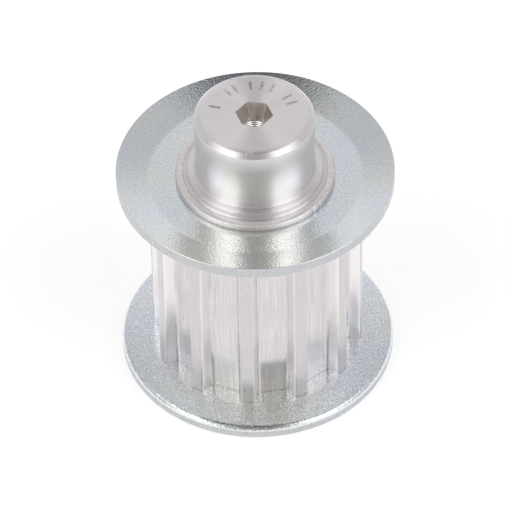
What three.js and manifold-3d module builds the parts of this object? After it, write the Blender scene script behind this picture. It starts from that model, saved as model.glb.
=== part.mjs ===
// Flanged timing belt pulley: a toothed aluminium body with a hub on one side, and two zinc-plated
// steel flanges that are held by lips swaged over them. Millimetres, +Z up along the pulley's axis.
// The origin is the centre of the plain end face, which the pulley stands on. One tooth points at +X.
import * as THREE from "three";
import { mergeVertices } from "three/addons/utils/BufferGeometryUtils.js";
import Module from "manifold-3d";

const wasm = await Module();
wasm.setup();

// ---- driving dimensions ----
const TEETH = 12;
const PITCH = 5; // along the belt's pitch line
const OVERALL_LENGTH = 27;
const HUB_LENGTH = 6;
const HUB_RADIUS = 5;
const BELT_TRACK = 17.3; // between the flanges, for a 16 mm belt
const FLANGE_THICKNESS = 1;
const FLANGE_RADIUS = 11.6;

// ---- tooth gap, a metric trapezoidal profile ----
const PITCH_LINE_OFFSET = 0.615; // from the tooth tips out to the belt's pitch line
const GAP_DEPTH = 1.25;
const GAP_FLOOR = 2.5; // width of the flat floor
const FLANK_ANGLE = THREE.MathUtils.degToRad(25);
const FLOOR_FILLET = 0.28; // length along each side that a fillet takes up
const TIP_FILLET = 0.2;
const TIP_RADIUS = (TEETH * PITCH) / (2 * Math.PI) - PITCH_LINE_OFFSET;
const ROOT_RADIUS = TIP_RADIUS - GAP_DEPTH;

// ---- levels along the axis ----
const PLAIN_FLANGE_Z = 0.53; // the plain side flange's outer face
const TRACK_BOTTOM_Z = PLAIN_FLANGE_Z + FLANGE_THICKNESS;
const TRACK_TOP_Z = TRACK_BOTTOM_Z + BELT_TRACK;
const HUB_FLANGE_Z = TRACK_TOP_Z + FLANGE_THICKNESS; // the hub side flange's outer face
const HUB_FOOT_Z = OVERALL_LENGTH - HUB_LENGTH;

// ---- flanges: flat discs whose outer part is dished away from the belt ----
const BEND_RADIUS = 9.12; // where the belt side leaves the flat
const HUB_SIDE_DISH = THREE.MathUtils.degToRad(17);
const PLAIN_SIDE_DISH = THREE.MathUtils.degToRad(9);
// edge of the belt side, drawn over by the blanking
const HUB_SIDE_ROLL = { width: 0.12, depth: 0.15 };
const PLAIN_SIDE_ROLL = { width: 0.42, depth: 0.58 };
const OUTER_EDGE_BREAK = 0.07;
const SEAT_CLEARANCE = 0.05;

// ---- shoulders that the flanges sit on, and their swaged lips ----
const SEAT_RADIUS = 6.2;
const LIP_RADIUS = 6.64;
const LIP_EDGE = 0.06;
const LIP_CREST_RADIUS = 6.35;
const HUB_LIP_HEIGHT = 0.7;
const PLAIN_LIP_HEIGHT = 0.46;
const SWAGE_INNER_RADIUS = 5.72; // the swaging tool's ring groove, inside the lip
const SWAGE_OUTER_RADIUS = 6.08;
const SHOULDER_FACE_RADIUS = 5.66;

// ---- hub ----
const HUB_CHAMFER = 0.4;
const HUB_FILLET = 0.15;

// ---- hexagonal recess in the hub's end face, with a round mouth and a turning centre at its foot ----
const HEX_RADIUS = 1.58; // over the corners, at the mouth
const HEX_FOOT_RADIUS = 1.15;
const HEX_DEPTH = 1.6;
const HEX_TURN = THREE.MathUtils.degToRad(-3); // of a corner from +X
const MOUTH_RADIUS = 1.4; // of the 45 degree countersink
const HUB_CENTRE_MOUTH_RADIUS = 0.9;
const HUB_CENTRE_RADIUS = 0.4;
const HUB_CENTRE_DEPTH = 1.6; // below the hexagon's foot
const HUB_CENTRE_POINT = 0.2;

// ---- turning centre in the plain end face ----
const CENTRE_MOUTH_RADIUS = 1.6;
const CENTRE_RADIUS = 0.8;
const CENTRE_DEPTH = 2.6;
const CENTRE_POINT = 0.45;
const CENTRE_HALF_ANGLE = THREE.MathUtils.degToRad(30); // of the cone, in both ends

// ---- facets ----
const ROUND_SEGMENTS = 72;
const HOLE_SEGMENTS = 24;
const FILLET_SEGMENTS = 3;
const ROLL_SEGMENTS = 5;
const CUT_MARGIN = 0.5; // how far a cutter stands out of the face that it cuts

// ---- solids, for the joins and cuts ----
function toSolid(geometry) {
  const bare = geometry.clone();
  bare.deleteAttribute("normal");
  bare.deleteAttribute("uv");
  const merged = mergeVertices(bare);
  return new wasm.Manifold(new wasm.Mesh({
    numProp: 3,
    vertProperties: merged.attributes.position.array,
    triVerts: new Uint32Array(merged.index.array),
  }));
}

function toGeometry(solid) {
  const { vertProperties, triVerts } = solid.getMesh();
  const geometry = new THREE.BufferGeometry();
  geometry.setAttribute("position", new THREE.BufferAttribute(vertProperties, 3));
  geometry.setIndex(new THREE.BufferAttribute(triVerts, 1));
  geometry.computeVertexNormals();
  return geometry;
}

// A solid of revolution about Z, from [radius, z] points that start and end on the axis, or close.
function revolve(points, segments = ROUND_SEGMENTS) {
  const outline = points.map(([radius, z]) => new THREE.Vector2(radius, z));
  return new THREE.LatheGeometry(outline, segments).rotateX(Math.PI / 2);
}

// ---- toothed barrel ----
// The closed outline through the corners, each cut off by a curve that starts `cut` before it.
function roundedOutline(corners) {
  const shape = new THREE.Shape();
  corners.forEach(({ point, cut }, i) => {
    const before = corners[(i + corners.length - 1) % corners.length].point;
    const after = corners[(i + 1) % corners.length].point;
    const start = before.clone().sub(point).setLength(cut).add(point);
    const end = after.clone().sub(point).setLength(cut).add(point);
    if (i === 0) shape.moveTo(start.x, start.y);
    else shape.lineTo(start.x, start.y);
    shape.quadraticCurveTo(point.x, point.y, end.x, end.y);
  });
  shape.closePath();
  return shape;
}

function toothOutline() {
  const polar = (radius, angle) => new THREE.Vector2(radius * Math.cos(angle), radius * Math.sin(angle));
  const step = (2 * Math.PI) / TEETH;
  const half = GAP_FLOOR / 2;
  const floorAngle = Math.atan(half / ROOT_RADIUS);
  const floorRadius = Math.hypot(half, ROOT_RADIUS);
  // how far the flank's line passes from the axis gives the angle where it meets the tip circle
  const passing = ROOT_RADIUS * Math.sin(FLANK_ANGLE) - half * Math.cos(FLANK_ANGLE);
  const mouthAngle = FLANK_ANGLE - Math.asin(passing / TIP_RADIUS);
  const corners = [];
  for (let tooth = 0; tooth < TEETH; tooth++) {
    const crown = tooth * step;
    const gap = crown + step / 2;
    corners.push(
      { point: polar(TIP_RADIUS, crown), cut: TIP_FILLET },
      { point: polar(TIP_RADIUS, gap - mouthAngle), cut: TIP_FILLET },
      { point: polar(floorRadius, gap - floorAngle), cut: FLOOR_FILLET },
      { point: polar(floorRadius, gap + floorAngle), cut: FLOOR_FILLET },
      { point: polar(TIP_RADIUS, gap + mouthAngle), cut: TIP_FILLET },
    );
  }
  return roundedOutline(corners);
}

function toothedBarrel() {
  const options = { depth: BELT_TRACK, bevelEnabled: false, curveSegments: FILLET_SEGMENTS };
  return new THREE.ExtrudeGeometry(toothOutline(), options).translate(0, 0, TRACK_BOTTOM_Z);
}

// ---- turned core: shoulders with their lips, and the hub ----
// From the flange's seat over the lip to the shoulder's face, as [radius, height over the flange].
function shoulderOutline(lipHeight, faceHeight) {
  return [
    [SEAT_RADIUS, 0],
    [LIP_RADIUS - LIP_EDGE, 0],
    [LIP_RADIUS, LIP_EDGE],
    [LIP_RADIUS, lipHeight * 0.6],
    [LIP_RADIUS - LIP_EDGE, lipHeight * 0.85],
    [LIP_CREST_RADIUS, lipHeight],
    [SWAGE_OUTER_RADIUS, lipHeight],
    [(SWAGE_INNER_RADIUS + SWAGE_OUTER_RADIUS) / 2, lipHeight * 0.85],
    [SWAGE_INNER_RADIUS, lipHeight * 0.95],
    [SHOULDER_FACE_RADIUS, faceHeight],
  ];
}

function turnedCore() {
  const fillet = new THREE.Path();
  const centre = [HUB_RADIUS + HUB_FILLET, HUB_FOOT_Z + HUB_FILLET];
  fillet.absarc(...centre, HUB_FILLET, 1.5 * Math.PI, Math.PI, true);
  const plainSide = shoulderOutline(PLAIN_LIP_HEIGHT, PLAIN_FLANGE_Z).reverse();
  const hubSide = shoulderOutline(HUB_LIP_HEIGHT, HUB_FOOT_Z - HUB_FLANGE_Z);
  return revolve([
    [0, 0],
    ...plainSide.map(([radius, height]) => [radius, PLAIN_FLANGE_Z - height]),
    ...hubSide.map(([radius, height]) => [radius, HUB_FLANGE_Z + height]),
    ...fillet.getPoints(FILLET_SEGMENTS).map(({ x, y }) => [x, y]),
    [HUB_RADIUS, OVERALL_LENGTH - HUB_CHAMFER],
    [HUB_RADIUS - HUB_CHAMFER, OVERALL_LENGTH],
    [0, OVERALL_LENGTH],
  ]);
}

// ---- cutters ----
function hexRecess() {
  const flare = ((HEX_RADIUS - HEX_FOOT_RADIUS) / HEX_DEPTH) * CUT_MARGIN;
  const height = HEX_DEPTH + CUT_MARGIN;
  return new THREE.CylinderGeometry(HEX_RADIUS + flare, HEX_FOOT_RADIUS, height, 6)
    .rotateX(Math.PI / 2)
    .rotateZ(Math.PI / 2 + HEX_TURN)
    .translate(0, 0, OVERALL_LENGTH - HEX_DEPTH + height / 2);
}

function recessMouth() {
  return revolve([
    [0, OVERALL_LENGTH - MOUTH_RADIUS],
    [MOUTH_RADIUS + CUT_MARGIN, OVERALL_LENGTH + CUT_MARGIN],
    [0, OVERALL_LENGTH + CUT_MARGIN],
  ], HOLE_SEGMENTS);
}

function hubCentre() {
  const mouth = OVERALL_LENGTH - HEX_DEPTH;
  const coneHeight = (HUB_CENTRE_MOUTH_RADIUS - HUB_CENTRE_RADIUS) / Math.tan(CENTRE_HALF_ANGLE);
  return revolve([
    [0, mouth - HUB_CENTRE_DEPTH - HUB_CENTRE_POINT],
    [HUB_CENTRE_RADIUS, mouth - HUB_CENTRE_DEPTH],
    [HUB_CENTRE_RADIUS, mouth - coneHeight],
    [HUB_CENTRE_MOUTH_RADIUS, mouth],
    [HUB_CENTRE_MOUTH_RADIUS, OVERALL_LENGTH],
    [0, OVERALL_LENGTH],
  ], HOLE_SEGMENTS);
}

function plainEndCentre() {
  const slope = Math.tan(CENTRE_HALF_ANGLE);
  return revolve([
    [0, -CUT_MARGIN],
    [CENTRE_MOUTH_RADIUS + CUT_MARGIN * slope, -CUT_MARGIN],
    [CENTRE_RADIUS, (CENTRE_MOUTH_RADIUS - CENTRE_RADIUS) / slope],
    [CENTRE_RADIUS, CENTRE_DEPTH],
    [0, CENTRE_DEPTH + CENTRE_POINT],
  ], HOLE_SEGMENTS);
}

// ---- the three pieces ----
function pulleyBody() {
  const blank = toSolid(turnedCore()).add(toSolid(toothedBarrel()));
  const cutters = [hexRecess(), recessMouth(), hubCentre(), plainEndCentre()].map(toSolid);
  return toGeometry(cutters.reduce((solid, cutter) => solid.subtract(cutter), blank));
}

// Belt side at z = 0 and outer side above it.
function flange(dish, roll) {
  const slope = Math.tan(dish);
  const bore = SEAT_RADIUS + SEAT_CLEARANCE;
  const outerBend = BEND_RADIUS - FLANGE_THICKNESS * Math.tan(dish / 2);
  const rimTop = FLANGE_THICKNESS + (FLANGE_RADIUS - outerBend) * slope;
  const rollRadius = FLANGE_RADIUS - roll.width;
  const rollHeight = (rollRadius - BEND_RADIUS) * slope + roll.depth;
  const tangentAngle = Math.atan((slope * roll.width) / roll.depth);
  const round = new THREE.Path();
  round.absellipse(
    rollRadius, rollHeight, roll.width, roll.depth, tangentAngle - Math.PI / 2, 0, false, 0,
  );
  return revolve([
    [bore, 0],
    [BEND_RADIUS, 0],
    ...round.getPoints(ROLL_SEGMENTS).map(({ x, y }) => [x, y]),
    [FLANGE_RADIUS, rimTop - OUTER_EDGE_BREAK],
    [FLANGE_RADIUS - OUTER_EDGE_BREAK, rimTop - OUTER_EDGE_BREAK * slope],
    [outerBend, FLANGE_THICKNESS],
    [bore, FLANGE_THICKNESS],
    [bore, 0],
  ]);
}

// ---- assembly ----
function aluminium() {
  return new THREE.MeshStandardMaterial({ color: 0xd9d3d5, roughness: 0.35, metalness: 1 });
}

function zincPlate() {
  return new THREE.MeshStandardMaterial({ color: 0xc3cad1, roughness: 0.3, metalness: 1 });
}

function piece(name, geometry, material) {
  const mesh = new THREE.Mesh(geometry, material);
  mesh.name = name;
  return mesh;
}

const body = piece("pulley_body", pulleyBody(), aluminium());

const hubSideFlange = piece("hub_side_flange", flange(HUB_SIDE_DISH, HUB_SIDE_ROLL), zincPlate());
hubSideFlange.position.z = TRACK_TOP_Z;

const plainSideFlange = piece("plain_side_flange", flange(PLAIN_SIDE_DISH, PLAIN_SIDE_ROLL), zincPlate());
plainSideFlange.rotation.x = Math.PI;
plainSideFlange.position.z = TRACK_BOTTOM_Z;

const pulley = new THREE.Group();
pulley.name = "timing_belt_pulley";
pulley.add(body, hubSideFlange, plainSideFlange);

export default pulley;
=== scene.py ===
"""Flanged timing belt pulley: finished pieces, materials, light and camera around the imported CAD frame.

Lengths are millimetres in the pulley's own frame, +Z up along its axis, and become metres in
make_mesh(). The three CAD nodes are each replaced by a piece of the same size with finer surfaces.
"""

import math

import bpy
import numpy as np
from mathutils import Matrix, Vector


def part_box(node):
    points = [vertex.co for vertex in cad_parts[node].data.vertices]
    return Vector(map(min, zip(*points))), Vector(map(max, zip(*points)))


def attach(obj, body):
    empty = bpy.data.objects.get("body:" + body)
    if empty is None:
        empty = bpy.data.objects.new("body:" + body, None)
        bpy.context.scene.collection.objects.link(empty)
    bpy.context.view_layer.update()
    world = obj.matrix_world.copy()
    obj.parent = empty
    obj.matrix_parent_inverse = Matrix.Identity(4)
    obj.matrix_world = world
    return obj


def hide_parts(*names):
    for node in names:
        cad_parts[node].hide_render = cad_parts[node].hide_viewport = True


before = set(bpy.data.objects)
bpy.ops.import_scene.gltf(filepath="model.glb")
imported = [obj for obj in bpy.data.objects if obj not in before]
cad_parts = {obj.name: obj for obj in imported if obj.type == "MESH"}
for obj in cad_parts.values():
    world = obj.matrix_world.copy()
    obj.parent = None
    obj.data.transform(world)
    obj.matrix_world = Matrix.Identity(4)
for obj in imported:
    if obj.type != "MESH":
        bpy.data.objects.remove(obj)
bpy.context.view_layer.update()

MM = 0.001


# ---- sizes: the outer ones come from the frame, the rest repeat the CAD's ----
def corners_mm(node):
    low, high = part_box(node)
    return low / MM, high / MM


_, body_high = corners_mm("pulley_body")
hub_flange_low, hub_flange_high = corners_mm("hub_side_flange")
_, plain_flange_high = corners_mm("plain_side_flange")

OVERALL = body_high.z
TRACK_BOTTOM = plain_flange_high.z
TRACK_TOP = hub_flange_low.z
FLANGE_RADIUS = hub_flange_high.x

# tooth gaps
TEETH = 12
PITCH = 5.0
TIP_RADIUS = TEETH * PITCH / math.tau - 0.615  # the belt's pitch line runs 0.615 outside the tips
ROOT_RADIUS = TIP_RADIUS - 1.25
GAP_HALF_FLOOR = 1.25
FLANK_ANGLE = math.radians(25)
FLOOR_FILLET = 0.4
TIP_FILLET = 0.22

# flanges
FLANGE_THICKNESS = 1.0
FLANGE_BORE_RADIUS = 6.25
HUB_FLANGE_FACE = TRACK_TOP + FLANGE_THICKNESS
PLAIN_FLANGE_FACE = TRACK_BOTTOM - FLANGE_THICKNESS
BEND_RADIUS = 9.12
HUB_SIDE_DISH = math.radians(17)
PLAIN_SIDE_DISH = math.radians(9)
HUB_SIDE_ROLL = (0.12, 0.15)  # width and depth of the belt side's edge, drawn over by the blanking
PLAIN_SIDE_ROLL = (0.42, 0.58)
OUTER_EDGE_RADIUS = 0.06
BEND_LENGTH = 0.16  # of a bend's rounding, on either side of it
BORE_BREAK = 0.05
FLAT_RADIUS = 7.6  # of a ring on the flat, from which the warp is counted
CONE_RINGS = (10.3, 10.4)  # radii of a ring part-way up the cone, on the belt side and the outer side

# shoulders and their swaged lips
SEAT_RADIUS = 6.2
LIP_RADIUS = 6.64
SWAGE_GROOVE_RADIUS = 5.9
HUB_LIP_HEIGHT = 0.7
PLAIN_LIP_HEIGHT = 0.46

# hub
HUB_RADIUS = 5.0
HUB_FOOT = OVERALL - 6.0
HUB_FILLET = 0.15
HUB_CHAMFER = 0.4
HUB_SIDE_RINGS = (23.0, 25.0)  # heights of rings part-way up the side
HUB_FACE_RINGS = (4.2, 3.4, 2.6, 1.9)  # radii of rings across the end face

# hexagonal recess, and the turning centre at its foot
HEX_RADIUS = 1.58
HEX_FOOT_RADIUS = 1.15
HEX_ROUNDING = 0.01
HEX_DEPTH = 1.6
HEX_TURN = math.radians(-3)
MOUTH_RADIUS = 1.4
HUB_CENTRE_MOUTH_RADIUS = 0.9
HUB_CENTRE_RADIUS = 0.4
HUB_CENTRE_DEPTH = 1.6
CENTRE_SLOPE = math.tan(math.radians(30))
CENTRE_FEED = 0.14  # of the turning centre's steps, down the axis
CENTRE_LEDGE = 0.42  # share of the feed that falls along a step's sloping ledge

# turning centre in the plain end, as [radius, depth] from its point to its mouth
PLAIN_CENTRE = ((0.4, 2.83), (0.8, 2.6), (0.8, 1.39), (1.5, 0.17), (1.6, 0.05), (1.66, 0.0))
PLAIN_FACE_RINGS = (3.0, 4.4)

# broken edges of the barrel where it meets the flanges, as [depth into the outline, rise]
BARREL_BREAKS = ((0.1, 0.0), (0.03, 0.035), (0.0, 0.07))

# nicks, as [depth, direction in degrees, half width in degrees]
LIP_NICKS = ((0.05, -38, 1.2), (0.04, -31, 0.7), (0.03, -150, 1.0))
CHAMFER_NICKS = ((0.035, -89.5, 0.9), (0.025, -86.3, 0.6), (0.025, -93.5, 0.7))


# ---- camera ----
VIEW_AZIMUTH = math.radians(6)  # round from the front, towards +X
VIEW_ELEVATION = math.radians(46.02)
VIEW_ROLL = math.radians(-0.97)
VIEW_DISTANCE = 431.7
VIEW_TARGET = Vector((-0.134, -0.014, 10.286))
LENS = 360.5


def make_camera():
    away = Vector((
        math.sin(VIEW_AZIMUTH) * math.cos(VIEW_ELEVATION),
        -math.cos(VIEW_AZIMUTH) * math.cos(VIEW_ELEVATION),
        math.sin(VIEW_ELEVATION),
    ))
    data = bpy.data.cameras.new("camera")
    data.lens = LENS
    data.sensor_width = 36.0
    data.clip_start = 0.01
    data.clip_end = 20.0
    camera = bpy.data.objects.new("camera", data)
    turn = (-away).to_track_quat("-Z", "Y").to_matrix() @ Matrix.Rotation(VIEW_ROLL, 3, "Z")
    place = Matrix.Translation((VIEW_TARGET + away * VIEW_DISTANCE) * MM)
    camera.matrix_world = place @ turn.to_4x4()
    bpy.context.scene.collection.objects.link(camera)
    bpy.context.scene.camera = camera


make_camera()


# ---- meshes ----
SHARP_ANGLE = math.radians(28)


def arc(centre, radius, start, end, steps):
    """Points [radius, z] of an arc from start to end degrees, counted up from the outward direction."""
    angles = np.radians(np.linspace(start, end, steps + 1))
    return [(centre[0] + radius * math.cos(a), centre[1] + radius * math.sin(a)) for a in angles]


def make_mesh(name, rings, slots, closed=False):
    """A round piece from rings of points, each ring an array [points, 3], joined one to the next.

    closed joins the last ring to the first; otherwise each end ring is closed by a point on the axis.
    slots gives each stretch between rings its material slot.
    """
    count = len(rings[0])
    points = [tuple(p) for ring in rings for p in ring]
    faces, indices = [], []
    following = np.roll(np.arange(count), -1)
    pairs = [(i, i + 1) for i in range(len(rings) - 1)]
    if closed:
        pairs.append((len(rings) - 1, 0))
    for (lower, upper), slot in zip(pairs, slots):
        low, high = lower * count, upper * count
        for a, b in zip(range(count), following):
            faces.append((low + a, low + b, high + b, high + a))
            indices.append(slot)
    if not closed:
        for ring, slot, flip in ((0, slots[0], True), (len(rings) - 1, slots[-1], False)):
            points.append((0.0, 0.0, float(rings[ring][:, 2].mean())))
            tip = len(points) - 1
            for a, b in zip(range(count), following):
                face = (ring * count + a, ring * count + b, tip)
                faces.append(face[::-1] if flip else face)
                indices.append(slot)
    mesh = bpy.data.meshes.new(name)
    mesh.from_pydata([(x * MM, y * MM, z * MM) for x, y, z in points], [], faces)
    mesh.polygons.foreach_set("material_index", indices)
    mesh.polygons.foreach_set("use_smooth", [True] * len(faces))
    mesh.set_sharp_from_angle(angle=SHARP_ANGLE)
    mesh.update()
    piece = bpy.data.objects.new(name, mesh)
    bpy.context.scene.collection.objects.link(piece)
    return piece


# ---- body ----
def gap_outline():
    """Half a tooth gap, from the floor's middle to the tooth's middle.

    The points are complex numbers, with the real axis outwards through the floor's middle.
    """
    flank = complex(math.cos(FLANK_ANGLE), math.sin(FLANK_ANGLE))
    inward = 1j * flank  # from the flank into the tooth
    corner = complex(ROOT_RADIUS, GAP_HALF_FLOOR)
    # tip fillet: touches the tip circle and the flank from inside the tooth
    base = corner + TIP_FILLET * inward
    along = (base * flank.conjugate()).real
    reach = TIP_RADIUS - TIP_FILLET
    tip_centre = base + (math.sqrt(along ** 2 - abs(base) ** 2 + reach ** 2) - along) * flank
    # floor fillet: touches the floor and the flank from inside the gap
    run = FLOOR_FILLET * (1 - math.sin(FLANK_ANGLE)) / math.cos(FLANK_ANGLE)
    floor_centre = complex(ROOT_RADIUS + FLOOR_FILLET, GAP_HALF_FLOOR - run)
    to_flank = math.atan2(inward.imag, inward.real)
    tooth_middle = math.pi / TEETH
    start = math.atan2(tip_centre.imag, tip_centre.real)
    floor = [complex(ROOT_RADIUS, y) for y in np.linspace(0, floor_centre.imag, 9)]
    low_turns = np.linspace(math.pi, to_flank, 6)
    low_arc = [floor_centre + FLOOR_FILLET * np.exp(1j * a) for a in low_turns]
    low, high = low_arc[-1], tip_centre - TIP_FILLET * inward
    wall = [low + (high - low) * t for t in (1 / 3, 2 / 3)]
    tip_turns = np.linspace(to_flank - math.pi, start, 6)
    tip_arc = [tip_centre + TIP_FILLET * np.exp(1j * a) for a in tip_turns]
    land = [TIP_RADIUS * np.exp(1j * a) for a in np.linspace(start, tooth_middle, 5)]
    return np.array(floor + low_arc[1:] + wall + tip_arc + land[1:])


def tooth_outline():
    """The whole toothed outline as complex numbers, counter-clockwise, with a tooth at +X."""
    half = gap_outline()
    gap = np.concatenate([np.conj(half[:0:-1]), half[:-1]])
    step = math.tau / TEETH
    return np.concatenate([gap * np.exp(1j * step * (k + 0.5)) for k in range(TEETH)])


# every ring of the body has its points in the outline's directions
OUTLINE = tooth_outline()
OUTLINE_RADII = np.abs(OUTLINE)
TURN = np.angle(OUTLINE)


def ring(radii, z):
    radii = np.broadcast_to(radii, TURN.shape)
    heights = np.broadcast_to(z, TURN.shape)
    return np.stack([radii * np.cos(TURN), radii * np.sin(TURN), heights], axis=1)


def dent(turn_degrees, width_degrees):
    """How strongly each direction is inside a nick centred on turn_degrees, from 0 to 1."""
    away = np.degrees(np.angle(np.exp(1j * (TURN - math.radians(turn_degrees)))))
    return np.exp(-(away / width_degrees) ** 2)


def nick_depths(nicks):
    return sum(depth * dent(turn, width) for depth, turn, width in nicks)


def waver(amount, phase):
    """A slight unevenness round the axis, as rolled or blanked metal has."""
    waves = ((2, 0.5), (3, 0.9), (5, 1.0), (9, 0.6), (14, 0.5), (23, 0.35), (37, 0.25))
    total = sum(weight * np.sin(k * TURN + phase * k * 1.7 + k * k) for k, weight in waves)
    return amount * total / sum(weight for _, weight in waves)


TEETH_SLOT, TURNED_SLOT, FACE_SLOT, RECESS_SLOT, LIP_SLOT, CENTRE_SLOT = range(6)


def lip_profile(height, face_height):
    """A swaged lip from the flange's seat to the shoulder's face, as [radius, height over the flange].

    Inside the crest runs the groove that the swaging tool left.
    """
    crown = height - 0.22
    return [
        (SEAT_RADIUS, 0.0),
        (LIP_RADIUS - 0.24, 0.0),
        (LIP_RADIUS - 0.12, 0.09),
        (LIP_RADIUS - 0.03, 0.15),
        (LIP_RADIUS, 0.22),
        (LIP_RADIUS, crown * 0.8),
        *arc((LIP_RADIUS - 0.2, crown), 0.2, 5, 80, 5),
        (LIP_RADIUS - 0.3, height - 0.01),
        (6.12, height),
        (6.04, height - 0.02),
        (5.95, height - 0.1),
        (5.84, height - 0.12),
        (5.76, height - 0.08),
        (5.71, height - 0.02),
        (5.67, height + (face_height - height) * 0.5),
        (5.65, face_height - 0.05),
        (5.6, face_height),
    ]


def hex_radii(corner_radius):
    """Radii of a hexagon with slightly rounded corners."""
    from_corner = (TURN - HEX_TURN + math.pi / 6) % (math.pi / 3) - math.pi / 6
    flat = corner_radius * math.cos(math.pi / 6)
    return np.minimum(flat / np.cos(np.abs(from_corner) - math.pi / 6), corner_radius - HEX_ROUNDING)


def add_plain_end(add):
    """Drilled centre, end face, and the lip under the plain side flange."""
    for radius, z in PLAIN_CENTRE:
        add(radius, z, RECESS_SLOT if z > 0.1 else FACE_SLOT)
    for radius in PLAIN_FACE_RINGS:
        add(radius, 0.0, FACE_SLOT)
    for radius, height in reversed(lip_profile(PLAIN_LIP_HEIGHT, PLAIN_FLANGE_FACE)):
        on_lip = 0 < height < PLAIN_LIP_HEIGHT - 0.02 and radius > SEAT_RADIUS
        uneven = waver(0.012, 4.0) if on_lip else 0
        add(radius + uneven, PLAIN_FLANGE_FACE - height, LIP_SLOT)


def add_barrel(add):
    """The toothed barrel. Its edges are broken where it meets the flanges, most of all at the lands."""
    add(SEAT_RADIUS, TRACK_BOTTOM, TURNED_SLOT)
    on_land = OUTLINE_RADII > TIP_RADIUS - 0.1
    worn = 0.8 + 0.4 * np.sin(67 * TURN + 1) * np.sin(29 * TURN) + 1.0 * on_land
    for depth, rise in BARREL_BREAKS:
        add(OUTLINE_RADII - depth * worn, TRACK_BOTTOM + rise * worn, TEETH_SLOT)
    for share in np.linspace(0, 1, 12)[1:-1]:
        add(OUTLINE_RADII, TRACK_BOTTOM + (TRACK_TOP - TRACK_BOTTOM) * share, TEETH_SLOT)
    for depth, rise in reversed(BARREL_BREAKS):
        add(OUTLINE_RADII - depth * worn, TRACK_TOP - rise * worn, TEETH_SLOT)
    add(SEAT_RADIUS, TRACK_TOP, TURNED_SLOT)


def add_hub(add):
    """The lip over the hub side flange, the shoulder, and the hub up to its end face."""
    nicks = nick_depths(LIP_NICKS)
    for radius, height in lip_profile(HUB_LIP_HEIGHT, HUB_FOOT - HUB_FLANGE_FACE):
        on_lip = height > 0.1 and radius > 6.3
        uneven = waver(0.014, 1.0) - nicks if on_lip else 0
        slot = LIP_SLOT if radius > SWAGE_GROOVE_RADIUS else FACE_SLOT
        add(radius + uneven, HUB_FLANGE_FACE + height, slot)
    fillet_centre = (HUB_RADIUS + HUB_FILLET, HUB_FOOT + HUB_FILLET)
    for radius, z in arc(fillet_centre, HUB_FILLET, 270, 180, 4):
        add(radius, z, FACE_SLOT)
    chamfer_foot = OVERALL - HUB_CHAMFER
    for z in (*HUB_SIDE_RINGS, chamfer_foot - 0.05):
        add(HUB_RADIUS, z, TURNED_SLOT)
    bruise = nick_depths(CHAMFER_NICKS)
    for inset, share in ((0.01, 0.0), (0.04, 0.1), (0.2, 0.0), (0.3, 0.3), (HUB_CHAMFER - 0.03, 1.0)):
        add(HUB_RADIUS - inset - share * bruise, chamfer_foot + inset, FACE_SLOT)
    add(HUB_RADIUS - HUB_CHAMFER - 0.03, OVERALL, FACE_SLOT)
    for radius in HUB_FACE_RINGS:
        add(radius, OVERALL, FACE_SLOT)


def add_recess(add):
    """A hexagon with a round mouth worn into its front, and a centre turned in steps at its foot."""
    round_mouth = MOUTH_RADIUS - 0.12 + 0.2 * dent(-86, 28)
    mouth = np.maximum(hex_radii(HEX_RADIUS), round_mouth)
    add(mouth + 0.03, OVERALL, FACE_SLOT)
    add(mouth, OVERALL - 0.02, RECESS_SLOT)
    add(np.maximum(hex_radii(HEX_RADIUS - 0.02), mouth - 0.1), OVERALL - 0.09, RECESS_SLOT)
    for share in (0.12, 0.5, 1.0):
        corner = HEX_RADIUS + (HEX_FOOT_RADIUS - HEX_RADIUS) * share
        add(hex_radii(corner), OVERALL - HEX_DEPTH * share, RECESS_SLOT)
    rim = OVERALL - HEX_DEPTH - 0.01
    add(HUB_CENTRE_MOUTH_RADIUS, rim, RECESS_SLOT)
    cone_height = (HUB_CENTRE_MOUTH_RADIUS - HUB_CENTRE_RADIUS) / CENTRE_SLOPE
    for drop in np.arange(CENTRE_FEED, cone_height, CENTRE_FEED):
        radius = HUB_CENTRE_MOUTH_RADIUS - (drop - CENTRE_FEED) * CENTRE_SLOPE
        add(radius - 0.005, rim - drop + CENTRE_FEED * CENTRE_LEDGE, CENTRE_SLOT)
        add(radius - CENTRE_FEED * CENTRE_SLOPE, rim - drop, CENTRE_SLOT)
    add(HUB_CENTRE_RADIUS, rim - cone_height, RECESS_SLOT)
    add(HUB_CENTRE_RADIUS, rim - HUB_CENTRE_DEPTH, RECESS_SLOT)
    add(0.1, rim - HUB_CENTRE_DEPTH - 0.15, RECESS_SLOT)


def body_rings():
    """The body's rings from the plain end's centre to the recess's foot, and each stretch's slot."""
    rings, slots = [], []

    def add(radii, z, slot):
        rings.append(ring(radii, z))
        slots.append(slot)

    for part in (add_plain_end, add_barrel, add_hub, add_recess):
        part(add)
    return rings, slots[1:]


def make_body():
    rings, slots = body_rings()
    piece = make_mesh("pulley_body_finished", rings, slots)
    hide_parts("pulley_body")
    return piece


# ---- flanges ----
FLANGE_SEGMENTS = 540
SHEET_SLOT, CUT_EDGE_SLOT = range(2)


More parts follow.
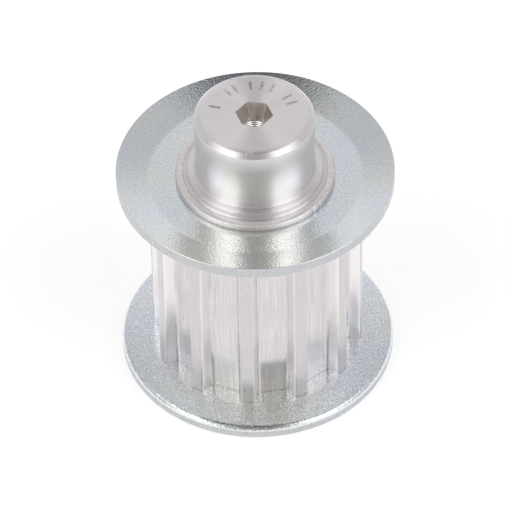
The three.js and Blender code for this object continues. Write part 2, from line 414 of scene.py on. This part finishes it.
def flange_profile(dish, roll):
    """The flange's section: from the bore out over the belt side, where the height is 0, and back.

    Returns its points [radius, height] and the slot of each stretch.
    """
    slope = math.tan(dish)
    top_bend = BEND_RADIUS - FLANGE_THICKNESS * math.tan(dish / 2)
    rim_top = FLANGE_THICKNESS + (FLANGE_RADIUS - top_bend) * slope
    roll_width, roll_depth = roll
    roll_centre = FLANGE_RADIUS - roll_width
    roll_top = (roll_centre - BEND_RADIUS) * slope
    belt_side_ring, outer_side_ring = CONE_RINGS

    def cone(radius, foot, height):
        return (radius, height + (radius - foot) * slope)

    belt_side = [
        (FLANGE_BORE_RADIUS + BORE_BREAK, 0.0),
        (FLAT_RADIUS, 0.0),
        (BEND_RADIUS - BEND_LENGTH, 0.0),
        (BEND_RADIUS - BEND_LENGTH / 3, BEND_LENGTH * slope * 0.1),
        (BEND_RADIUS + BEND_LENGTH / 3, BEND_LENGTH * slope * 0.43),
        cone(BEND_RADIUS + BEND_LENGTH, BEND_RADIUS, 0.0),
        cone(belt_side_ring, BEND_RADIUS, 0.0),
    ]
    rolled = [
        (roll_centre + roll_width * math.sin(a), roll_top + roll_depth * (1 - math.cos(a)))
        for a in np.linspace(slope * roll_width / roll_depth, math.pi / 2, 11)
    ]
    outer_edge_centre = (FLANGE_RADIUS - OUTER_EDGE_RADIUS, rim_top - OUTER_EDGE_RADIUS)
    outer_side = [
        *arc(outer_edge_centre, OUTER_EDGE_RADIUS, 0, 75, 5),
        cone(outer_side_ring, top_bend, FLANGE_THICKNESS),
        cone(top_bend + BEND_LENGTH, top_bend, FLANGE_THICKNESS),
        (top_bend + BEND_LENGTH / 3, FLANGE_THICKNESS + BEND_LENGTH * slope * 0.43),
        (top_bend - BEND_LENGTH / 3, FLANGE_THICKNESS + BEND_LENGTH * slope * 0.1),
        (top_bend - BEND_LENGTH, FLANGE_THICKNESS),
        (FLAT_RADIUS, FLANGE_THICKNESS),
        (FLANGE_BORE_RADIUS + BORE_BREAK, FLANGE_THICKNESS),
        (FLANGE_BORE_RADIUS, FLANGE_THICKNESS - BORE_BREAK),
        (FLANGE_BORE_RADIUS, BORE_BREAK),
    ]
    # the plating stays bright over most of the roll; the last of it and the rim are the cut edge
    plated = len(belt_side) + 8
    slots = [SHEET_SLOT] * plated + [CUT_EDGE_SLOT] * 3 + [SHEET_SLOT] * len(outer_side)
    return belt_side + rolled + outer_side, slots


def make_flange(name, node, dish, roll, seat, up, phase):
    """up is 1 for the flange whose outer side faces +Z, and -1 for the other, turned over."""
    profile, slots = flange_profile(dish, roll)
    turn = np.linspace(0, math.tau, FLANGE_SEGMENTS, endpoint=False)
    rings = []
    for radius, height in profile:
        spread = max(0.0, (radius - FLAT_RADIUS) / (FLANGE_RADIUS - FLAT_RADIUS))
        warp = 0.02 * spread ** 2 * np.sin(2 * turn + phase)
        ripple = 0.01 * spread * np.sin(5 * turn + 2 * phase)
        sag = np.minimum(warp + ripple, 0) if radius > BEND_RADIUS else 0 * warp
        z = seat + up * (height + sag)
        rings.append(np.stack([radius * np.cos(turn), radius * np.sin(turn), z], axis=1)[::up])
    piece = make_mesh(name, rings, slots, closed=True)
    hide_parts(node)
    return piece


# ---- materials ----
class Surface:
    """A node material with helpers that take numbers or other nodes' outputs."""

    def __init__(self, name):
        self.material = bpy.data.materials.new(name)
        self.material.use_nodes = True
        self.tree = self.material.node_tree
        self.shader = self.tree.nodes["Principled BSDF"]
        self.shader.inputs["Metallic"].default_value = 1.0
        place = self.node("ShaderNodeTexCoord").outputs["Object"]
        self.place = self.vector("SCALE", place, scale=1 / MM)  # millimetres
        parts = self.node("ShaderNodeSeparateXYZ", Vector=self.place).outputs
        self.x, self.y, self.z = parts["X"], parts["Y"], parts["Z"]
        x_squared = self.math("MULTIPLY", self.x, self.x)
        y_squared = self.math("MULTIPLY", self.y, self.y)
        self.radius = self.math("SQRT", self.math("ADD", x_squared, y_squared))
        self.turn = self.math("ARCTAN2", self.y, self.x)

    def node(self, kind, **inputs):
        made = self.tree.nodes.new(kind)
        for name, value in inputs.items():
            self.put(made.inputs[name.replace("_", " ")], value)
        return made

    def put(self, socket, value):
        if isinstance(value, bpy.types.NodeSocket):
            self.tree.links.new(value, socket)
        else:
            socket.default_value = value

    def math(self, operation, *values):
        made = self.tree.nodes.new("ShaderNodeMath")
        made.operation = operation
        for socket, value in zip(made.inputs, values):
            self.put(socket, value)
        return made.outputs[0]

    def vector(self, operation, *values, scale=None):
        made = self.tree.nodes.new("ShaderNodeVectorMath")
        made.operation = operation
        for socket, value in zip(made.inputs, values):
            self.put(socket, value)
        if scale is not None:
            self.put(made.inputs["Scale"], scale)
        return made.outputs["Vector"]

    def combine(self, x, y, z):
        return self.node("ShaderNodeCombineXYZ", X=x, Y=y, Z=z).outputs[0]

    def noise(self, vector, scale, detail=3.0, roughness=0.5):
        made = self.node(
            "ShaderNodeTexNoise", Vector=vector, Scale=scale, Detail=detail, Roughness=roughness)
        return made.outputs["Fac"]

    def spread(self, value, low, high, new_low=0.0, new_high=1.0):
        """value taken from the range low..high to new_low..new_high, and held at the ends."""
        made = self.node("ShaderNodeMapRange", Value=value)
        for socket, number in zip(list(made.inputs)[1:5], (low, high, new_low, new_high)):
            self.put(socket, number)
        return made.outputs[0]

    def mix(self, share, first, second):
        made = self.tree.nodes.new("ShaderNodeMix")
        made.data_type = "RGBA"
        self.put(made.inputs[0], share)
        for socket, colour in zip(made.inputs[6:8], (first, second)):
            self.put(socket, colour if isinstance(colour, bpy.types.NodeSocket) else (*colour, 1.0))
        return made.outputs[2]

    def bump(self, height, distance_mm, normal=None):
        made = self.node("ShaderNodeBump", Height=height, Distance=distance_mm * MM)
        if normal is not None:
            self.put(made.inputs["Normal"], normal)
        return made.outputs[0]

    def tangent(self, across_grooves):
        """Grooves run round the axis; across_grooves turns the long highlight across them."""
        made = self.tree.nodes.new("ShaderNodeTangent")
        made.direction_type = "RADIAL"
        made.axis = "Z"
        self.put(self.shader.inputs["Tangent"], made.outputs[0])
        self.shader.inputs["Anisotropic Rotation"].default_value = 0.25 if across_grooves else 0.0

    def finish(self, colour, roughness, normal, anisotropic=0.0):
        self.put(self.shader.inputs["Base Color"], colour)
        self.put(self.shader.inputs["Roughness"], roughness)
        self.put(self.shader.inputs["Normal"], normal)
        self.shader.inputs["Anisotropic"].default_value = anisotropic
        return self.material


ALUMINIUM = (0.87, 0.84, 0.848)
ALUMINIUM_DULL = (0.78, 0.75, 0.757)
ALUMINIUM_BRIGHT = (0.94, 0.915, 0.922)
OILED = (0.93, 0.93, 0.895)
FACED = (0.95, 0.905, 0.94)
MILLED = (0.715, 0.687, 0.694)
MILLED_DULL = (0.57, 0.548, 0.554)
MILLED_BRIGHT = (0.84, 0.81, 0.818)
MILLED_LAND = (0.83, 0.80, 0.808)
MILLED_FLANK_HIGHLIGHT = (0.96, 0.925, 0.935)
PRESSED = (0.84, 0.79, 0.76)
PRESSED_DULL = (0.70, 0.65, 0.61)
PRESSED_STAIN = (0.72, 0.69, 0.60)
PIT = (0.16, 0.145, 0.14)
SWAGED = (0.97, 0.925, 0.93)
SWAGED_DULL = (0.79, 0.75, 0.755)
ETCHED = (0.42, 0.39, 0.33)


def aluminium_teeth():
    """Milled lengthwise: fine lines along the teeth, a few pits and stains, and painted highlights on the
    flanks.
    """
    s = Surface("aluminium_teeth")
    round_way = s.math("MULTIPLY_ADD", s.turn, 8.3, s.radius)
    slow = s.math("MULTIPLY", s.z, 0.015)
    lines = s.noise(s.combine(round_way, slow, 0.0), scale=13.0, detail=3.0, roughness=0.65)
    fine_way = s.combine(round_way, s.math("MULTIPLY", s.z, 0.2), 0.0)
    fine = s.noise(fine_way, scale=16.0, detail=3.0, roughness=0.6)
    stain = s.noise(s.place, scale=0.35)
    specks = s.noise(s.vector("MULTIPLY", s.place, (1.0, 1.0, 0.55)), scale=5.0, detail=2.0)
    pit = s.spread(specks, 0.735, 0.76)
    colour = s.mix(s.spread(lines, 0.35, 0.65), MILLED_DULL, MILLED_BRIGHT)
    colour = s.mix(0.35, colour, MILLED)
    colour = s.mix(s.spread(stain, 0.45, 0.75, 0.0, 0.25), colour, MILLED_DULL)
    land = s.spread(s.radius, TIP_RADIUS - 0.12, TIP_RADIUS - 0.04)
    colour = s.mix(s.math("MULTIPLY", land, 0.5), colour, MILLED_LAND)
    # painted highlight: the flanks are coloured much brighter than the floors, for the light they catch
    flank = s.spread(s.radius, ROOT_RADIUS + 0.2, ROOT_RADIUS + 0.4)
    flank = s.math("MULTIPLY", flank, s.math("SUBTRACT", 1.0, land))
    colour = s.mix(s.math("MULTIPLY", flank, 0.85), colour, MILLED_FLANK_HIGHLIGHT)
    colour = s.mix(pit, colour, PIT)
    height = s.math("ADD", s.math("MULTIPLY", lines, 0.7), s.math("MULTIPLY", fine, 0.3))
    height = s.math("SUBTRACT", height, s.math("MULTIPLY", pit, 2.0))
    normal = s.bump(height, 0.002)
    roughness = s.math("ADD", s.spread(fine, 0.3, 0.7, 0.21, 0.28), s.math("MULTIPLY", land, 0.17))
    s.tangent(across_grooves=False)
    return s.finish(colour, roughness, normal, anisotropic=1.0)


def turned(name, along, line_mm, depth_mm, lean, roughness):
    """Turned on a lathe: fine rings round the axis, at distance along() over the surface.

    lean is the slope of the feed marks' long side, which faces away from the axis. roughness is its
    range, lowest and highest. Returns the surface with its colour, roughness and normal, to finish.
    """
    s = Surface(name)
    way = along(s)
    drift_x, drift_y = s.math("MULTIPLY", s.x, 0.12), s.math("MULTIPLY", s.y, 0.12)
    drift = s.combine(drift_x, drift_y, s.math("DIVIDE", way, line_mm))
    rings = s.noise(drift, scale=1.0, detail=4.0, roughness=0.6)
    broad = s.noise(s.combine(0.0, 0.0, s.math("DIVIDE", way, line_mm * 9)), scale=1.0, detail=2.0)
    smear = s.noise(s.place, scale=0.9, detail=4.0, roughness=0.6)
    scratch_way = s.combine(s.math("MULTIPLY", s.turn, 3.0), s.math("MULTIPLY", way, 9.0), 0.0)
    scratch = s.spread(s.noise(scratch_way, scale=1.0, detail=5.0, roughness=0.7), 0.66, 0.72)
    colour = s.mix(s.spread(rings, 0.3, 0.7), ALUMINIUM_DULL, ALUMINIUM_BRIGHT)
    colour = s.mix(0.6, colour, ALUMINIUM)
    colour = s.mix(s.spread(smear, 0.42, 0.7, 0.0, 0.5), colour, ALUMINIUM_DULL)
    colour = s.mix(s.math("MULTIPLY", scratch, 0.35), colour, ALUMINIUM_BRIGHT)
    height = s.math("ADD", s.math("MULTIPLY", rings, 0.6), s.math("MULTIPLY", broad, 0.4))
    height = s.math("ADD", s.math("MULTIPLY", height, depth_mm), s.math("MULTIPLY", way, -lean))
    normal = s.bump(height, 1.0)
    low, high = roughness
    rough = s.math("ADD", s.spread(rings, 0.3, 0.7, low, high), s.math("MULTIPLY", smear, 0.04))
    s.tangent(across_grooves=True)
    return s, colour, rough, normal


def aluminium_turned():
    """The hub's side and the shoulders' seats, with a thin film of oil."""
    s, colour, rough, normal = turned(
        "aluminium_turned", lambda s: s.math("ADD", s.z, s.radius),
        line_mm=0.05, depth_mm=0.0003, lean=0.0, roughness=(0.185, 0.225))
    colour = s.mix(0.4, colour, OILED)
    return s.finish(colour, rough, normal, anisotropic=1.0)


# plain index strokes, etched in a row across the hub's end face
STROKE_RADIUS = 3.35  # of their middles
STROKE_LENGTH = 1.0
STROKE_HALF_WIDTHS = (0.07, 0.16)  # where a stroke starts to fade, and where it has gone
STROKE_DIRECTIONS = (171, 136, 124, 101, 84, 69, 41, 27)


def aluminium_face():
    """Faced on a lathe, with the index strokes on the hub's end."""
    s, colour, rough, normal = turned(
        "aluminium_face", lambda s: s.radius,
        line_mm=0.06, depth_mm=0.0006, lean=-0.02, roughness=(0.25, 0.3))
    colour = s.mix(0.4, colour, FACED)
    band = s.math("COMPARE", s.radius, STROKE_RADIUS, STROKE_LENGTH / 2)
    top = s.math("GREATER_THAN", s.z, OVERALL - 0.3)
    strokes = 0.0
    shake = s.noise(s.place, scale=3.0, detail=2.0)
    shake = s.math("MULTIPLY", s.math("SUBTRACT", shake, 0.5), 0.05)
    shaken = s.math("ADD", s.turn, shake)
    full, gone = STROKE_HALF_WIDTHS
    for degrees in STROKE_DIRECTIONS:
        gap = s.math("ABSOLUTE", s.math("SUBTRACT", shaken, math.radians(degrees)))
        line = s.spread(s.math("MULTIPLY", gap, s.radius), full, gone, 1.0, 0.0)
        strokes = s.math("MAXIMUM", strokes, line)
    broken = s.spread(s.noise(s.place, scale=4.0, detail=3.0, roughness=0.7), 0.36, 0.52)
    mark = s.math("MULTIPLY", s.math("MULTIPLY", band, top), s.math("MULTIPLY", strokes, broken))
    colour = s.mix(s.math("MULTIPLY", mark, 0.5), colour, ETCHED)
    rough = s.math("ADD", rough, s.math("MULTIPLY", mark, 0.25))
    normal = s.bump(s.math("MULTIPLY", mark, -1.0), 0.01, normal)
    return s.finish(colour, rough, normal, anisotropic=1.0)


def aluminium_recess():
    """Pressed and drilled: darker, smeared metal with fine marks down the walls, and painted highlights
    down the hexagon's corners.
    """
    s = Surface("aluminium_recess")
    sixth = math.pi / 3
    turn_on = s.math("ADD", s.turn, math.tau - HEX_TURN + sixth / 2)
    corner_way = s.math("SUBTRACT", s.math("MODULO", turn_on, sixth), sixth / 2)
    corner = s.spread(s.math("ABSOLUTE", corner_way), 0.07, 0.02)
    drag_way = s.combine(s.math("MULTIPLY", s.turn, 6.0), s.math("MULTIPLY", s.z, 0.6), 0.0)
    drag = s.noise(drag_way, scale=1.4)
    smear = s.noise(s.place, scale=2.2)
    colour = s.mix(s.spread(drag, 0.35, 0.65), PRESSED_DULL, PRESSED)
    colour = s.mix(s.spread(smear, 0.4, 0.7, 0.0, 0.5), colour, PRESSED_STAIN)
    # painted highlight: the hexagon's corners are coloured bright
    colour = s.mix(corner, colour, ALUMINIUM_BRIGHT)
    return s.finish(colour, s.spread(drag, 0.3, 0.7, 0.3, 0.4), s.bump(drag, 0.004))


def aluminium_centre():
    """Drilled with a centre drill: bright, with rings round the axis."""
    s = Surface("aluminium_centre")
    rings = s.noise(s.combine(0.0, 0.0, s.z), scale=14.0, detail=3.0, roughness=0.6)
    smear = s.noise(s.place, scale=3.0)
    colour = s.mix(s.spread(rings, 0.35, 0.65), ALUMINIUM, ALUMINIUM_BRIGHT)
    colour = s.mix(s.spread(smear, 0.5, 0.7, 0.0, 0.4), colour, ALUMINIUM_DULL)
    return s.finish(colour, s.spread(smear, 0.3, 0.7, 0.14, 0.22), s.bump(rings, 0.002))


def aluminium_swaged():
    """Metal rolled over the flange's bore: rough, torn and scuffed."""
    s = Surface("aluminium_swaged")
    torn_way = s.vector("MULTIPLY", s.place, (1.0, 1.0, 1.6))
    torn = s.noise(torn_way, scale=5.5, detail=3.0, roughness=0.65)
    fine = s.noise(s.place, scale=9.0, detail=3.0, roughness=0.6)
    scuff = s.spread(s.noise(s.place, scale=1.6, detail=4.0, roughness=0.6), 0.55, 0.7)
    colour = s.mix(s.spread(torn, 0.35, 0.65), SWAGED_DULL, SWAGED)
    colour = s.mix(s.math("MULTIPLY", scuff, 0.5), colour, ALUMINIUM_DULL)
    colour = s.mix(s.spread(fine, 0.34, 0.28, 0.0, 0.8), colour, PIT)
    height = s.math("ADD", s.math("MULTIPLY", torn, 0.7), s.math("MULTIPLY", fine, 0.3))
    return s.finish(colour, s.spread(torn, 0.3, 0.7, 0.46, 0.36), s.bump(height, 0.008))


ZINC = (0.79, 0.81, 0.84)
ZINC_BLUE = (0.765, 0.81, 0.875)
ZINC_STRAW = (0.82, 0.82, 0.765)
# painted reflection tint, for the side of a flange that faces the view
PAINTED_FRONT_GREEN = (0.79, 0.83, 0.80)
ZINC_DULL = (0.50, 0.52, 0.55)
CUT_EDGE = (0.50, 0.51, 0.525)
# colour and radius of a painted dark streak on the rolled edge, standing in for a dark reflection
PAINTED_DARK_STREAK = (0.30, 0.30, 0.31)
PAINTED_STREAK_RADIUS = 11.33


def zinc_face(name, grain_scale, grain_depth, speckle, flat_share, dark_streak_strength):
    """Bright zinc plate over pressed sheet: orange-peel grain, a faint film of colours, and a painted
    green and straw reflection tint on the side facing the view.

    speckle is how far the grain's shade strays; flat_share is how much grain the flat inside the bend
    keeps; the last argument is how strongly a painted dark streak, standing in for a dark reflection,
    darkens the rolled edge at the front.
    """
    s = Surface(name)
    grain = s.noise(s.place, scale=grain_scale, detail=1.0)
    pores = s.noise(s.vector("ADD", s.place, (5.0, 9.0, 2.0)), scale=8.0, detail=2.0, roughness=0.6)
    clouds = s.noise(s.place, scale=0.28, detail=3.0, roughness=0.6)
    drift = s.noise(s.vector("ADD", s.place, (31.0, 7.0, 3.0)), scale=0.2, detail=2.0)
    outside = s.spread(s.radius, BEND_RADIUS - 0.3, BEND_RADIUS)
    # painted reflection tint: front marks the side that faces the view, and the green and straw tints
    # below are painted there
    front = s.spread(s.math("DIVIDE", s.y, s.radius), -0.6, -0.95)
    colour = s.mix(s.spread(clouds, 0.35, 0.6, 0.3, 1.0), ZINC, ZINC_BLUE)
    colour = s.mix(s.spread(drift, 0.5, 0.65, 0.0, 0.4), colour, ZINC_STRAW)
    painted_front_green = s.math("MULTIPLY", front, s.spread(outside, 0.0, 1.0, 0.9, 0.7))
    colour = s.mix(painted_front_green, colour, PAINTED_FRONT_GREEN)
    painted_front_straw = s.math("MULTIPLY", front, s.spread(drift, 0.3, 0.6, 0.1, 0.6))
    colour = s.mix(painted_front_straw, colour, ZINC_STRAW)
    depth = s.spread(outside, 0.0, 1.0, flat_share, 1.0)
    shade = s.spread(pores, 0.3, 0.7, 1.0 - speckle, 1.0 + speckle)
    colour = s.vector("SCALE", colour, scale=shade)
    # painted reflection: a dark streak along the rolled edge, only at the flange's front
    ragged = s.noise(s.place, scale=2.5, detail=3.0, roughness=0.7)
    ragged = s.math("MULTIPLY", s.math("SUBTRACT", ragged, 0.5), 0.3)
    streak = s.math("ABSOLUTE", s.math("SUBTRACT", s.math("ADD", s.radius, ragged), PAINTED_STREAK_RADIUS))
    near = s.spread(s.math("DIVIDE", s.y, s.radius), -0.93, -0.97)
    painted_dark_streak = s.math("MULTIPLY", s.spread(streak, 0.06, 0.16, dark_streak_strength, 0.0), near)
    colour = s.mix(painted_dark_streak, colour, PAINTED_DARK_STREAK)
    roughness = s.spread(pores, 0.3, 0.7, 0.13, 0.07)
    return s.finish(colour, roughness, s.bump(s.math("MULTIPLY", grain, depth), grain_depth))


def zinc_edge():
    """The blanked edge: duller, with faint marks across the sheet from the die."""
    s = Surface("zinc_edge")
    die_way = s.combine(s.math("MULTIPLY", s.turn, 40.0), s.math("MULTIPLY", s.z, 0.8), 0.0)
    die = s.noise(die_way, scale=1.0, detail=4.0, roughness=0.6)
    clouds = s.noise(s.place, scale=0.5, detail=3.0, roughness=0.6)
    colour = s.mix(s.spread(die, 0.3, 0.7, 0.0, 0.3), CUT_EDGE, ZINC)
    colour = s.mix(s.spread(clouds, 0.5, 0.7, 0.0, 0.4), colour, ZINC_DULL)
    return s.finish(colour, s.spread(clouds, 0.3, 0.7, 0.24, 0.34), s.bump(die, 0.004))


# ---- assembly ----
body = make_body()
# in the order of the body's slots
for finish in (
    aluminium_teeth, aluminium_turned, aluminium_face,
    aluminium_recess, aluminium_swaged, aluminium_centre,
):
    body.data.materials.append(finish())

hub_flange = make_flange(
    "hub_side_flange_finished", "hub_side_flange",
    HUB_SIDE_DISH, HUB_SIDE_ROLL, TRACK_TOP, up=1, phase=0.7)
plain_flange = make_flange(
    "plain_side_flange_finished", "plain_side_flange",
    PLAIN_SIDE_DISH, PLAIN_SIDE_ROLL, TRACK_BOTTOM, up=-1, phase=2.1)
cut_edge = zinc_edge()
hub_flange.data.materials.append(zinc_face(
    "zinc_hub_side", grain_scale=6.0, grain_depth=0.02, speckle=0.12, flat_share=0.9, dark_streak_strength=0.0))
plain_flange.data.materials.append(zinc_face(
    "zinc_plain_side", grain_scale=6.5, grain_depth=0.032, speckle=0.26, flat_share=0.5, dark_streak_strength=0.8))
for flange in (hub_flange, plain_flange):
    flange.data.materials.append(cut_edge)

for piece in (body, hub_flange, plain_flange):
    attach(piece, "root")


# ---- floor: pale, with a soft pool of light round the pulley ----
FLOOR_HALF_SIZE = 3.0  # metres, as are the next two
POOL_RADIUS = 0.12
POOL_FADED_RADIUS = 0.5
POOL_LIGHT = 0.41


def make_floor():
    size = FLOOR_HALF_SIZE
    mesh = bpy.data.meshes.new("floor")
    points = [(-size, -size, 0.0), (size, -size, 0.0), (size, size, 0.0), (-size, size, 0.0)]
    mesh.from_pydata(points, [], [(0, 1, 2, 3)])
    floor = bpy.data.objects.new("floor", mesh)
    bpy.context.scene.collection.objects.link(floor)
    material = bpy.data.materials.new("floor_white")
    material.use_nodes = True
    tree = material.node_tree
    shader = tree.nodes["Principled BSDF"]
    shader.inputs["Base Color"].default_value = (0.9, 0.9, 0.9, 1.0)
    shader.inputs["Roughness"].default_value = 0.9
    shader.inputs["Specular IOR Level"].default_value = 0.1
    shader.inputs["Emission Color"].default_value = (1.0, 1.0, 1.0, 1.0)
    coordinates = tree.nodes.new("ShaderNodeTexCoord")
    distance = tree.nodes.new("ShaderNodeVectorMath")
    distance.operation = "LENGTH"
    pool = tree.nodes.new("ShaderNodeMapRange")
    pool.inputs["From Min"].default_value = POOL_RADIUS
    pool.inputs["From Max"].default_value = POOL_FADED_RADIUS
    pool.inputs["To Min"].default_value = POOL_LIGHT
    pool.inputs["To Max"].default_value = 0.0
    tree.links.new(coordinates.outputs["Object"], distance.inputs[0])
    tree.links.new(distance.outputs["Value"], pool.inputs["Value"])
    tree.links.new(pool.outputs[0], shader.inputs["Emission Strength"])
    mesh.materials.append(material)


make_floor()


# ---- light: a white tent, darker overhead and round the opening that the view looks through ----
# Directions are [azimuth, elevation], azimuth 0 towards the viewer and 90 to the viewer's right.
# Spreads are [edge, core], the degrees from the middle where a patch starts and where it is full.
TENT_LIGHT = 0.58
SOFTBOX_LIGHT = 0.86
UPRIGHT_AZIMUTH = 48
UPRIGHT_SPREAD = (24, 8)
HIGH_BOX_AZIMUTH = 69
HIGH_BOX_ELEVATION = 50
HIGH_BOX_SPREAD = (25, 8)
BACK_LIGHT = 0.25
BACK_DIRECTION = (180, 20)
BACK_SPREAD = (36, 10)
OPENING_LIGHT = 0.70  # share of the tent's light that is left there
OPENING_SPREAD = (22, 5)
TOP_LIGHT = 0.12
TOP_SPREAD = (27, 11)
WALL_TOP_SPREAD = (38, 26)  # from overhead, where the softboxes and the opening end


def direction(azimuth, elevation):
    a, e = math.radians(azimuth) + VIEW_AZIMUTH, math.radians(elevation)
    return Vector((math.sin(a) * math.cos(e), -math.cos(a) * math.cos(e), math.sin(e)))


def make_world():
    world = bpy.data.worlds.new("tent")
    world.use_nodes = True
    bpy.context.scene.world = world
    tree = world.node_tree
    coordinates = tree.nodes.new("ShaderNodeTexCoord").outputs["Generated"]

    def vector_math(operation, first, second=None):
        made = tree.nodes.new("ShaderNodeVectorMath")
        made.operation = operation
        tree.links.new(first, made.inputs[0])
        if second is not None:
            made.inputs[1].default_value = second
        return made.outputs["Value" if operation == "DOT_PRODUCT" else "Vector"]

    def patch(seen, toward, spread, outside, inside):
        """outside beyond the spread's edge from the direction, inside within its core."""
        ramp = tree.nodes.new("ShaderNodeMapRange")
        ramp.interpolation_type = "SMOOTHSTEP"
        tree.links.new(vector_math("DOT_PRODUCT", seen, toward), ramp.inputs["Value"])
        edge, core = spread
        ramp.inputs["From Min"].default_value = math.cos(math.radians(edge))
        ramp.inputs["From Max"].default_value = math.cos(math.radians(core))
        ramp.inputs["To Min"].default_value = outside
        ramp.inputs["To Max"].default_value = inside
        return ramp.outputs[0]

    def join(operation, first, second):
        made = tree.nodes.new("ShaderNodeMath")
        made.operation = operation
        tree.links.new(first, made.inputs[0])
        tree.links.new(second, made.inputs[1])
        return made.outputs[0]

    def constant(value):
        made = tree.nodes.new("ShaderNodeValue")
        made.outputs[0].default_value = value
        return made.outputs[0]

    overhead = direction(0, 90)
    level = vector_math("NORMALIZE", vector_math("MULTIPLY", coordinates, (1.0, 1.0, 0.0)))
    on_wall = patch(coordinates, overhead, WALL_TOP_SPREAD, 1.0, 0.0)
    tent = constant(TENT_LIGHT)
    back = patch(coordinates, direction(*BACK_DIRECTION), BACK_SPREAD, 0.0, BACK_LIGHT)
    light = join("ADD", tent, back)
    for side in (-1, 1):
        toward = direction(UPRIGHT_AZIMUTH * side, 0)
        upright = join("MULTIPLY", patch(level, toward, UPRIGHT_SPREAD, 0.0, SOFTBOX_LIGHT), on_wall)
        toward = direction(HIGH_BOX_AZIMUTH * side, HIGH_BOX_ELEVATION)
        high = patch(coordinates, toward, HIGH_BOX_SPREAD, 0.0, SOFTBOX_LIGHT)
        light = join("ADD", light, join("MAXIMUM", upright, high))
    opening = patch(level, direction(0, 0), OPENING_SPREAD, 0.0, OPENING_LIGHT - 1.0)
    shade = join("MULTIPLY", opening, on_wall)
    light = join("MULTIPLY", light, join("ADD", shade, constant(1.0)))
    top = patch(coordinates, overhead, TOP_SPREAD, 1.0, TOP_LIGHT / TENT_LIGHT)
    light = join("MULTIPLY", light, top)
    tree.links.new(light, tree.nodes["Background"].inputs["Strength"])
    tree.nodes["Background"].inputs["Color"].default_value = (1.0, 1.0, 1.0, 1.0)


make_world()

bpy.context.scene.view_settings.view_transform = "Standard"
